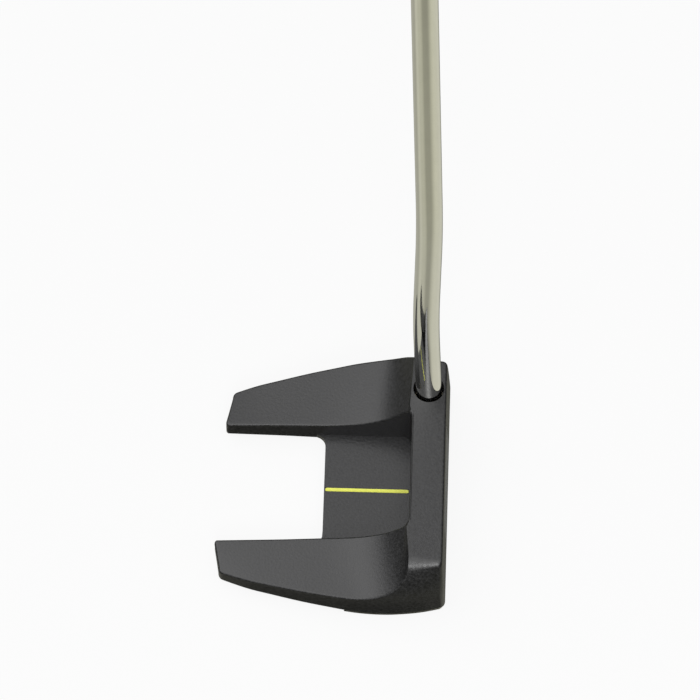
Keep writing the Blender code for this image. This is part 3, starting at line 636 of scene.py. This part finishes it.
# Sight line: yellow enamel poured into the groove and levelled. It shrinks as it cures,
# leaving a slightly hollow top that clings to the groove's edges, and soft ends.
# Semi-gloss enamel: a strong yellow with a weak, clean highlight.
yellow_enamel, tree, shader = principled("yellow_enamel_fill", Specular_IOR_Level=0.4)
speckle(tree, shader, 1.2, linear("#c5c751"), linear("#b9bb47"), (0.34, 0.44), 0.01)
rings = []
LINE_STEPS = 96
for step in range(LINE_STEPS + 1):
    share = step / LINE_STEPS
    x = PANEL_REAR + 0.5 + (BAR_REAR - 1.0 - PANEL_REAR) * share
    near_end = min(share, 1.0 - share) * LINE_STEPS
    half = LINE_WIDTH / 2 * min(1.0, 0.62 + 0.2 * near_end)
    ring = [(x, -half, PANEL_TOP - LINE_DEPTH + 0.06), (x, half, PANEL_TOP - LINE_DEPTH + 0.06)]
    for i in range(9):
        across = 1.0 - i / 4
        sag = 0.09 * (1.0 - across**2) + 0.01 * math.sin(share * 41.0) + 0.006 * math.sin(share * 97.0 + 1.0)
        ring.append((x, half * across, PANEL_TOP - 0.02 - max(sag, 0.0)))
    rings.append(ring)
sight_line = loft("sight_line_enamel", rings, yellow_enamel)
even_shading(sight_line, 50.0)
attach(sight_line, "club")
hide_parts("sight_line_fill")

# Face insert: cast urethane block bonded into the face pocket. Its front is milled with
# level grooves at 1.1 mm pitch, which stop short of a plain border.
# Dull grey urethane: soft sheen, no metal glint.
urethane, tree, shader = principled("grey_cast_urethane", Roughness=0.5, Specular_IOR_Level=0.45)
speckle(tree, shader, 0.7, linear("#77787a"), linear("#6b6c6e"), (0.42, 0.56), 0.006)
GROOVE_PITCH, GROOVE_DEPTH, BORDER = 1.1, 0.18, 1.6
points, faces = [], []
heights = [INSERT_LOW]
for k in range(6):
    heights.append(INSERT_LOW + 0.12 + BORDER * k / 6)
span = INSERT_HIGH - INSERT_LOW - BORDER * 2
count = int(span / GROOVE_PITCH) * 8
heights += [INSERT_LOW + BORDER + span * k / count for k in range(count + 1)]
heights += [INSERT_HIGH - 0.12 - BORDER * k / 6 for k in range(5, -1, -1)]
heights.append(INSERT_HIGH)
shares = [-1.0, -0.996, -0.985, -0.965, -0.94, -0.925]
shares += [-0.9 + 0.15 * k for k in range(13)]
shares += [-s for s in shares[5::-1]]
for level in heights:
    above = min(level - INSERT_LOW, INSERT_HIGH - level)
    half = INSERT_HALF - inset(INSERT_CORNER, above)
    inside_z = min(max((above - BORDER) / 0.3, 0.0), 1.0)
    wave = 0.5 - 0.5 * math.cos(math.tau * (level - INSERT_LOW - BORDER) / GROOVE_PITCH)
    for share in shares:
        y = half * share
        inside_y = min(max((INSERT_HALF - BORDER - abs(y)) / 0.5, 0.0), 1.0)
        soft = inset(0.25, min(above, half - abs(y)))
        depth = 0.05 + soft * 0.8 + GROOVE_DEPTH * wave**2 * inside_z * inside_y
        points.append(on_face(depth, y, level))
width = len(shares)
front = len(points)
for level in heights:
    half = INSERT_HALF - inset(INSERT_CORNER, min(level - INSERT_LOW, INSERT_HIGH - level))
    points += [on_face(INSERT_THICK, -half, level), on_face(INSERT_THICK, half, level)]
for r in range(len(heights) - 1):
    for c in range(width - 1):
        a = r * width + c
        faces.append((a, a + 1, a + 1 + width, a + width))
    back = front + r * 2
    faces.append((back, back + 1, back + 3, back + 2))
    faces.append((r * width, (r + 1) * width, back + 2, back))
    faces.append((r * width + width - 1, back + 1, back + 3, (r + 1) * width + width - 1))
faces.append((front, *range(width), front + 1))
top_row = (len(heights) - 1) * width
faces.append((len(points) - 2, *range(top_row, top_row + width), len(points) - 1))
insert = new_piece("milled_insert", points, faces, urethane)
even_shading(insert, 40.0)
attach(insert, "club")
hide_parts("face_insert")

# Sole plate: stainless sheet cut to the outline of the head, edges tumbled round, held by
# four countersunk screws and bored through for the two weights.
# Brushed stainless: long fine lines heel to toe, brighter across them, soft along them.
brushed_steel, tree, shader = principled("brushed_stainless_steel", Metallic=1.0, Anisotropic=0.5)
speckle(tree, shader, 0.25, linear("#b9b9b4"), linear("#a3a39d"), (0.26, 0.40), 0.004, (1.0, 0.02, 1.0))
along = node(tree, "ShaderNodeCombineXYZ", inputs={"Y": 1.0})
tree.links.new(along.outputs["Vector"], shader.inputs["Tangent"])
PLATE_THICK, PLATE_REAR, PLATE_INSET, PLATE_ROUND = 2.5, -16.5, 0.8, 0.6


def plate_side(extra, shrink):
    """Outline of one side of the plate in plan, drawn in by a distance."""
    front = LEADING_EDGE - PLATE_INSET - shrink
    edge = [(p.x, p.y) for p in outer_curve if PLATE_REAR + 1.5 < p.x < front - FRONT_ROUND - 0.2]
    edge = [(PLATE_REAR + shrink, at(outer_curve, PLATE_REAR + shrink))] + edge
    for i in range(13):
        turn = math.radians(90.0 * i / 12)
        x = front - FRONT_ROUND * (1 - math.sin(turn))
        edge.append((x, at(outer_curve, x) - FRONT_ROUND * (1 - math.cos(turn))))
    return [(x, y + at(extra, x) - PLATE_INSET - shrink) for x, y in edge]


def plate_outline(shrink):
    toe = plate_side(TOE_EXTRA, shrink)
    return plate_side(HEEL_EXTRA, shrink) + [(x, -y) for x, y in reversed(toe)]


profile = [(PLATE_ROUND - rise, back) for rise, back in arc(PLATE_ROUND, (90, 72, 54, 36, 18, 0))]
profile += [(PLATE_THICK - z, shrink) for z, shrink in reversed(profile)]
rings = [[(x, y, z) for x, y in plate_outline(shrink)] for z, shrink in profile]
plate = loft("sole_plate_stainless", rings, brushed_steel)
cut(plate, [weight_room(sign) for sign in (1, -1)] + [screw_room(y) for y in SCREW_PLACES])
even_shading(plate)
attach(plate, "club")
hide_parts("sole_plate")


# Plate screws: countersunk stainless machine screws with a hexagon socket, turned and
# thread-rolled. They come up through the plate into the block.
# Turned stainless: fine rings around the axis, a brighter cut edge.
def threaded(name, centre, profile, count, pitch, material):
    """Solid of revolution with a rolled thread: distance, radius and thread depth."""
    rings = []
    for d, radius, depth in profile:
        ring = []
        for i in range(count):
            share = i / count
            phase = (d / pitch - share) % 1.0
            cut_in = depth * (1.0 - abs(phase * 2.0 - 1.0)) ** 0.8
            turn = math.tau * share
            r = radius - cut_in
            ring.append(Vector(centre) + Vector((r * math.cos(turn), r * math.sin(turn), d)))
        rings.append(ring)
    return loft(name, rings, material)


def thread_span(low, high, radius, depth, pitch):
    """Profile entries of a threaded length, its thread fading in and out over half a turn."""
    steps = int((high - low) / pitch * 8)
    entries = []
    for k in range(steps + 1):
        d = low + (high - low) * k / steps
        fade = min(1.0, (d - low) / (pitch * 0.5), (high - d) / (pitch * 0.5))
        entries.append((d, radius, depth * max(fade, 0.0)))
    return entries


def hexagon(name, centre, radius, low, high, mouth):
    """Socket cutter: hexagon with a short chamfer at its mouth, which faces down."""
    tip = high + radius * 0.3
    profile = ((low - 1.0, radius + mouth + 1.0), (low + mouth, radius), (high, radius), (tip, 0.3))
    return turned(name, centre, profile, 6)


turned_steel, tree, shader = principled("turned_stainless_steel", Metallic=1.0)
speckle(tree, shader, 0.3, linear("#b2b1ab"), linear("#98978f"), (0.24, 0.36), 0.003, (1.0, 1.0, 4.0))
for number, y in enumerate(SCREW_PLACES, 1):
    profile = [
        (0.35, 2.2, 0.0), (0.36, 2.5, 0.0), (0.42, 2.68, 0.0), (0.52, 2.66, 0.0), (0.7, 2.48, 0.0),
        (1.2, 1.97, 0.0), (HEAD_TOP - 0.1, 1.55, 0.0), (HEAD_TOP + 0.05, SCREW_SHANK_R, 0.0),
    ]
    profile += thread_span(HEAD_TOP + 0.2, SCREW_LENGTH - 0.1, SCREW_SHANK_R, 0.2, 0.5)
    profile += [(SCREW_LENGTH + 0.1, 1.35, 0.0), (SCREW_LENGTH + 0.35, 1.1, 0.0)]
    seat = (SCREW_X, y, 0.0)
    screw = threaded(f"countersunk_screw_{number}", seat, profile, 48, 0.5, turned_steel)
    cut(screw, [hexagon("screw_socket", seat, 1.15, 0.35, 1.5, 0.1)])
    even_shading(screw, 40.0)
    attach(screw, "club")
    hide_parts(f"plate_screw_{number}")

# Screw weights at heel and toe: turned stainless slugs with a hexagon socket, a shallow
# turned ring on the face, a rounded rim and an M11 thread. Each unscrews downwards.
for side, sign in (("heel", 1.0), ("toe", -1.0)):
    seat = (WEIGHT_X, WEIGHT_Y * sign, 0.0)
    profile = [
        (0.4, 3.9, 0.0), (0.4, 5.6, 0.0), (0.46, 5.72, 0.0), (0.66, 5.82, 0.0), (0.66, 6.18, 0.0),
        (0.46, 6.28, 0.0), (0.4, 6.4, 0.0), (0.4, 7.35, 0.0), (0.45, 7.58, 0.0), (0.6, 7.8, 0.0),
        (0.85, 7.95, 0.0), (1.1, 8.0, 0.0), (3.2, 8.0, 0.0), (3.45, 7.92, 0.0), (3.6, 7.7, 0.0),
        (3.6, 5.5, 0.0), (4.2, 5.3, 0.0),
    ]
    profile += thread_span(4.5, 10.2, SHANK_R, 0.5, 1.25)
    profile += [(10.4, 5.2, 0.0), (10.6, 4.9, 0.0)]
    weight = threaded(f"{side}_weight_turned", seat, profile, 96, 1.25, turned_steel)
    cut(weight, [hexagon("weight_socket", seat, 3.1, 0.4, 3.4, 0.25)])
    even_shading(weight, 40.0)
    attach(weight, f"{side}_screw_weight")
    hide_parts(f"{side}_weight")

# Sealing rings: moulded nitrile O-rings trapped between each weight's flange and its seat,
# with the fine parting line of the mould round the outside.
# Matt black rubber: almost no highlight, a little dusty.
nitrile, tree, shader = principled("black_nitrile_rubber", Roughness=0.7, Specular_IOR_Level=0.35)
speckle(tree, shader, 0.3, linear("#1f1f1f"), linear("#171717"), (0.6, 0.8), 0.005)
for side, sign in (("heel", 1.0), ("toe", -1.0)):
    centre = Vector((WEIGHT_X, WEIGHT_Y * sign, 4.2))
    rings = []
    for i in range(24):
        turn = math.tau * i / 24
        flash = 0.03 if i == 0 else 0.0
        height = Vector((0.0, 0.0, 0.45 * math.sin(turn)))
        rings.append(circle(centre + height, (0, 0, 1), 7.0 + 0.42 * math.cos(turn) + flash, 96))
    ring = loft(f"{side}_o_ring", rings, nitrile, joined=True)
    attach(ring, f"{side}_ring")
    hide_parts(f"{side}_weight_ring")

# Shaft: seamless steel tube, double-bent near the foot, drawn in steps towards the head,
# polished and chrome plated. It is glued into the bore of the block.
# Bright chrome: mirror-like with the faintest haze left by the polishing wheel.
chrome, tree, shader = principled("bright_chrome_plate", Metallic=1.0)
speckle(tree, shader, 3.0, (0.80, 0.80, 0.775), (0.76, 0.76, 0.735), (0.05, 0.09), 0.0015, (1.0, 1.0, 0.3))
SHAFT_BEND_HIGH = Vector((10.79, 49.63, 111.39))
SHAFT_BUTT = Vector((-16.56, 309.33, 824.19))
BEND_REACH, SHAFT_WALL, FOOT_DEPTH = 13.0, 0.9, 14.0
SHAFT_STEPS = (
    (0.0, 4.7), (290.0, 4.7), (292.0, 4.95), (345.0, 4.95), (347.0, 5.35), (400.0, 5.35), (402.0, 5.8),
    (455.0, 5.8), (457.0, 6.3), (510.0, 6.3), (512.0, 6.85), (565.0, 6.85), (567.0, 7.35), (900.0, 7.35),
)
FOOT = SHAFT_MOUTH - LOWER * FOOT_DEPTH
line = [FOOT]
corners = (FOOT, SHAFT_BEND_LOW, SHAFT_BEND_HIGH, SHAFT_BUTT)
for before, corner, after in zip(corners, corners[1:], corners[2:]):
    start = corner + (before - corner).normalized() * BEND_REACH
    stop = corner + (after - corner).normalized() * BEND_REACH
    line += [start.lerp(corner, i / 32).lerp(corner.lerp(stop, i / 32), i / 32) for i in range(33)]
UP = (SHAFT_BUTT - SHAFT_BEND_HIGH).normalized()
length = sum((b - a).length for a, b in zip(line, line[1:]))
bend_end = line[-1]
for low, high in zip(SHAFT_STEPS[1::2], SHAFT_STEPS[2::2]):
    if low[0] > length:
        line += [bend_end + UP * (low[0] + (high[0] - low[0]) * k / 6 - length) for k in range(-1, 8)]
line.append(SHAFT_BUTT.copy())
outside, inside = [], []
travelled = 0.0
for i, point in enumerate(line):
    travelled += (point - line[max(i - 1, 0)]).length
    along = (line[min(i + 1, len(line) - 1)] - line[max(i - 1, 0)]).normalized()
    radius = at(SHAFT_STEPS, travelled)
    outside.append(circle(point, along, radius, 96))
    inside.append(circle(point, along, radius - SHAFT_WALL, 96))
shaft = loft("chrome_shaft", outside + inside[::-1], chrome, joined=True)
even_shading(shaft, 40.0)
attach(shaft, "club")
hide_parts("shaft")

# Grip: moulded rubber sleeve with a flat front and a fuller back, slipped over the taped
# butt of the shaft. Rows of small raised pips cover its sides and back; the front is plain.
# Moulded rubber: matt charcoal with a faint sheen and a dusty grain.
moulded_rubber, tree, shader = principled("black_moulded_rubber", Roughness=0.65, Specular_IOR_Level=0.4)
speckle(tree, shader, 0.5, linear("#2b2b2b"), linear("#202020"), (0.58, 0.74), 0.01)
GRIP_BORE_R, GRIP_LENGTH, GRIP_LIP = 7.75, 266.0, 0.9
GRIP_SECTIONS = (
    (0.0, 12.6, 11.4, 13.4), (10.0, 13.2, 11.8, 14.6), (30.0, 13.6, 12.0, 15.6), (60.0, 13.6, 12.0, 15.4),
    (95.0, 13.3, 11.8, 14.0), (130.0, 12.8, 11.4, 12.7), (175.0, 12.2, 10.9, 11.8), (225.0, 11.4, 10.3, 10.9),
    (258.0, 10.6, 9.8, 10.2), (266.0, 9.6, 9.1, 9.3),
)
ACROSS_GRIP = (Vector((1.0, 0.0, 0.0)) - UP * UP.x).normalized()
FRONT = ACROSS_GRIP.cross(UP).normalized()
FRONT = FRONT if FRONT.y < 0 else -FRONT
GRIP_COUNT = 120
PIP_WIDTH, PIP_HEIGHT = 1.7, 0.6


def grip_ring(distance, width, front, back, round_share=0.0, radius=0.0):
    """Section of the grip below the butt, blended towards a circle by a share."""
    centre = SHAFT_BUTT - UP * distance
    ring = []
    for i in range(GRIP_COUNT):
        turn = math.tau * i / GRIP_COUNT
        c, s = math.cos(turn), math.sin(turn)
        a = width * math.copysign(abs(c) ** 0.9, c)
        b = (front if s > 0 else back) * math.copysign(abs(s) ** (0.55 if s > 0 else 0.95), s)
        b = min(b, front * 0.93)
        a += (radius * c - a) * round_share
        b += (radius * s - b) * round_share
        ring.append(centre + ACROSS_GRIP * a + FRONT * b)
    return ring


grip_curve = [(v.x, v.yzw) for v in smooth_curve(GRIP_SECTIONS, 4)]
rings, picks = [], []
distance = 0.0
while distance < GRIP_LENGTH:
    end = min(distance, GRIP_LENGTH - distance)
    lip = GRIP_LIP * inset(1.0, min(end, 1.0))
    rings.append(grip_ring(distance, *[v - lip for v in at(grip_curve, distance)]))
    picks.append(20.0 <= distance <= 252.0)
    distance += 0.25 if end < 1.2 else 2.0
rings.append(grip_ring(GRIP_LENGTH, *[v - GRIP_LIP for v in at(grip_curve, GRIP_LENGTH)]))
outer_rings = len(rings)
rings += [grip_ring(GRIP_LENGTH * s, 1.0, 1.0, 1.0, 1.0, GRIP_BORE_R) for s in (1.0, 0.5, 0.0)]
grip = loft("moulded_grip", rings, moulded_rubber, joined=True)
even_shading(grip, 40.0)
mark = grip.data.attributes.new("pip", "BOOLEAN", "POINT")
for r in range(outer_rings - 1):
    for i in range(GRIP_COUNT):
        on_back = GRIP_COUNT / 2 + 4 <= i <= GRIP_COUNT - 4
        if picks[r] and on_back and r % 2 == 0 and (i + r) % 4 == 0:
            mark.data[r * GRIP_COUNT + i].value = True
pips = bpy.data.node_groups.new("raised_pips", "GeometryNodeTree")
pips.interface.new_socket("Geometry", in_out="INPUT", socket_type="NodeSocketGeometry")
width_in = pips.interface.new_socket("Pip width", in_out="INPUT", socket_type="NodeSocketFloat")
height_in = pips.interface.new_socket("Pip height", in_out="INPUT", socket_type="NodeSocketFloat")
rubber_in = pips.interface.new_socket("Rubber", in_out="INPUT", socket_type="NodeSocketMaterial")
pips.interface.new_socket("Geometry", in_out="OUTPUT", socket_type="NodeSocketGeometry")
given = node(pips, "NodeGroupInput")
chosen = node(pips, "GeometryNodeInputNamedAttribute", {"data_type": "BOOLEAN"}, {"Name": "pip"})
outward = node(pips, "GeometryNodeInputNormal")
facing = node(
    pips, "FunctionNodeAlignRotationToVector", {"axis": "Z"}, links={"Vector": outward.outputs["Normal"]}
)
dome = node(pips, "GeometryNodeMeshUVSphere", inputs={"Segments": 12, "Rings": 6, "Radius": 0.5})
size = node(
    pips, "ShaderNodeCombineXYZ",
    links={
        "X": given.outputs["Pip width"], "Y": given.outputs["Pip width"],
        "Z": given.outputs["Pip height"],
    },
)
placed = node(
    pips, "GeometryNodeInstanceOnPoints",
    links={
        "Points": given.outputs["Geometry"], "Selection": chosen.outputs["Attribute"],
        "Instance": dome.outputs["Mesh"], "Rotation": facing.outputs["Rotation"],
        "Scale": size.outputs["Vector"],
    },
)
solid = node(pips, "GeometryNodeRealizeInstances", links={"Geometry": placed.outputs["Instances"]})
soft = node(pips, "GeometryNodeSetShadeSmooth", links={"Geometry": solid.outputs["Geometry"]})
whole = node(pips, "GeometryNodeJoinGeometry", links={"Geometry": soft.outputs["Geometry"]})
pips.links.new(given.outputs["Geometry"], whole.inputs["Geometry"])
painted = node(
    pips, "GeometryNodeSetMaterial",
    links={"Geometry": whole.outputs["Geometry"], "Material": given.outputs["Rubber"]},
)
node(pips, "NodeGroupOutput", links={"Geometry": painted.outputs["Geometry"]})
raised = grip.modifiers.new("pips", "NODES")
raised.node_group = pips
raised[width_in.identifier] = PIP_WIDTH * MM
raised[height_in.identifier] = PIP_HEIGHT * MM
raised[rubber_in.identifier] = moulded_rubber
bake(grip)
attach(grip, "club")
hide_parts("grip")

# Grip cap: moulded rubber disc that closes the butt, with a rounded shoulder, two shallow
# rings and the small vent hole that lets air out as the grip is slipped on.
CAP_GAP, CAP_THICK, CAP_ROUND, VENT_R = 0.3, 4.0, 1.2, 1.3
cap_size = GRIP_SECTIONS[0][1:]


def cap_ring(rise, drawn_in, share=0.0, radius=VENT_R):
    return grip_ring(-CAP_GAP - rise * 0.97, *[v - drawn_in - 0.1 for v in cap_size], share, radius)


rings = [cap_ring(0.0, 0.3, s) for s in (1.0, 0.5, 0.0)]
rings += [cap_ring(0.15, 0.08), cap_ring(0.4, 0.0), cap_ring(CAP_THICK - CAP_ROUND, 0.0)]
rings += [cap_ring(CAP_THICK - CAP_ROUND + rise, back) for rise, back in arc(CAP_ROUND, range(15, 91, 15))]
for share, dip in (
    (0.06, 0.0), (0.12, 0.0), (0.14, 0.25), (0.19, 0.25), (0.21, 0.0), (0.38, 0.0), (0.5, 0.0),
    (0.52, 0.25), (0.57, 0.25), (0.59, 0.0), (0.8, 0.0), (0.94, 0.0), (0.98, 0.08), (1.0, 0.3),
):
    rings.append(cap_ring(CAP_THICK - dip, CAP_ROUND, share))
cap = loft("moulded_grip_cap", rings, moulded_rubber, joined=True)
even_shading(cap, 35.0)
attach(cap, "club")
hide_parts("grip_cap")

# Hidden pieces keep their frame meshes and get their real materials: foam adhesive sheet
# behind the insert, epoxy round the shaft's foot, the cork plug in it and the paper tape
# under the grip.
# Double-sided foam tape: pale, waxy, matt.
foam_tape, tree, shader = principled("clear_foam_adhesive", Roughness=0.5)
speckle(tree, shader, 0.6, linear("#d8d0b8"), linear("#c9c0a4"), (0.45, 0.6), 0.01)
# Cured epoxy: amber grey and glossy where it has flowed.
cured_epoxy, tree, shader = principled("cured_epoxy", Roughness=0.3, Coat_Weight=0.3)
speckle(tree, shader, 1.5, linear("#8f866f"), linear("#7c745f"), (0.2, 0.4), 0.02)
# Agglomerated cork: brown grains about a millimetre across.
cork, tree, shader = principled("agglomerated_cork", Roughness=0.85, Specular_IOR_Level=0.2)
speckle(tree, shader, 1.0, linear("#b08a5c"), linear("#7d5c38"), (0.75, 0.95), 0.05)
# Crepe paper tape: cream and fibrous, with fibres running along the shaft.
crepe_tape, tree, shader = principled("crepe_paper_tape", Roughness=0.8, Specular_IOR_Level=0.25)
speckle(tree, shader, 0.5, linear("#ddd6bf"), linear("#c9c1a6"), (0.7, 0.9), 0.02, (1.0, 0.4, 0.2))
for name, finish in (
    ("insert_adhesive", foam_tape), ("shaft_epoxy", cured_epoxy),
    ("shaft_tip_plug", cork), ("grip_tape", crepe_tape),
):
    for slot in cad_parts[name].material_slots:
        slot.material = finish
